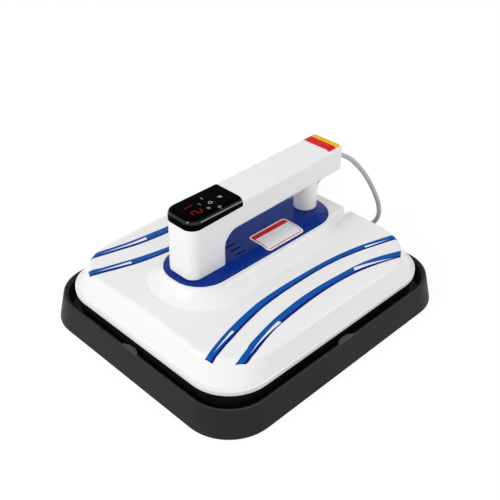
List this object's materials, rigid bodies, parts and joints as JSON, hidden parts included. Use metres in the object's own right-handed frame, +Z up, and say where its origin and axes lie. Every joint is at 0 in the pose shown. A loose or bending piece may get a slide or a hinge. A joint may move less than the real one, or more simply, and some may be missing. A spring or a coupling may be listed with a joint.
{
  "type": "handheld heat press",
  "caption": "Handheld heat press with a domed housing, arched handle and touch control cap, resting in its insulated tray, with a mains cord.",
  "frame": {"origin": "middle of the tray's footprint on the table, measured without the free cord", "axes": "+Z up; +Y along the handle from the control cap to the cord end; +X to the right of a user at -Y"},
  "size_m": [0.3445, 0.4495, 0.1659],
  "materials": {
    "tray_black": "fine satin moulding",
    "frame_black": "fine satin moulding",
    "foot_rubber": "matt",
    "mat_silicone": "matt foam",
    "plate_aluminium": "machined",
    "element_steel": "heat-dulled sheath",
    "fixing_steel": "zinc plated",
    "shield_steel": "mill finish sheet",
    "blanket_fibre": "needled fibre",
    "housing_white": "semi-gloss moulding",
    "handle_white": "semi-gloss moulding",
    "post_grey": "semi-gloss moulding",
    "deck_blue": "high gloss moulding",
    "cap_black": "high gloss moulding",
    "cord_grey": "smooth flexible sheath",
    "part_black": "satin",
    "part_green": "satin",
    "board_green": "solder resist",
    "socket_white": "satin",
    "lead_grey": "flat lead",
    "lead_red": "silicone sleeve",
    "pin_brass": "bright",
    "print_blue": "printed band on the housing",
    "print_white": "printed mark",
    "print_red": "printed band",
    "print_yellow": "printed band"
  },
  "bodies": {
    "base": {"base_tray": "tray_black", "base_feet": "foot_rubber", "tray_mat": "mat_silicone"},
    "press": {"heating_plate": "plate_aluminium", "heating_element": "element_steel", "plate_studs": "fixing_steel", "thermal_cutout": "part_black", "temperature_probe": "fixing_steel", "insulation_blanket": "blanket_fibre", "heat_shield": "shield_steel", "lower_frame": "frame_black", "housing_screws": "fixing_steel", "upper_housing": "housing_white", "deck_cover": "deck_blue", "deck_screws": "fixing_steel", "handle_body": "handle_white", "handle_cover": "handle_white", "control_cap": "cap_black", "rear_post": "post_grey", "beam_screws": "fixing_steel", "display_board": "board_green", "digit_display": "part_black", "touch_springs": "fixing_steel", "buzzer": "part_black", "display_ribbon": "lead_grey", "power_board": "board_green", "board_screws": "fixing_steel", "power_relay": "part_black", "triac_heatsink": "plate_aluminium", "terminal_block": "part_green", "ribbon_socket": "socket_white", "heater_leads": "lead_red", "inner_lead": "cord_grey", "cord_clamp": "part_black", "clamp_screws": "fixing_steel", "strain_relief": "cord_grey", "cord_tube": "cord_grey", "cord_coil": "cord_grey", "cord_tie": "part_black", "plug_body": "cord_grey", "plug_pins": "pin_brass"}
  },
  "joints": [
    {"name": "press_lift", "type": "slide", "parent": "base", "child": "press", "axis": [0, 0, 1], "range_m": [0, 0.06]}
  ]
}
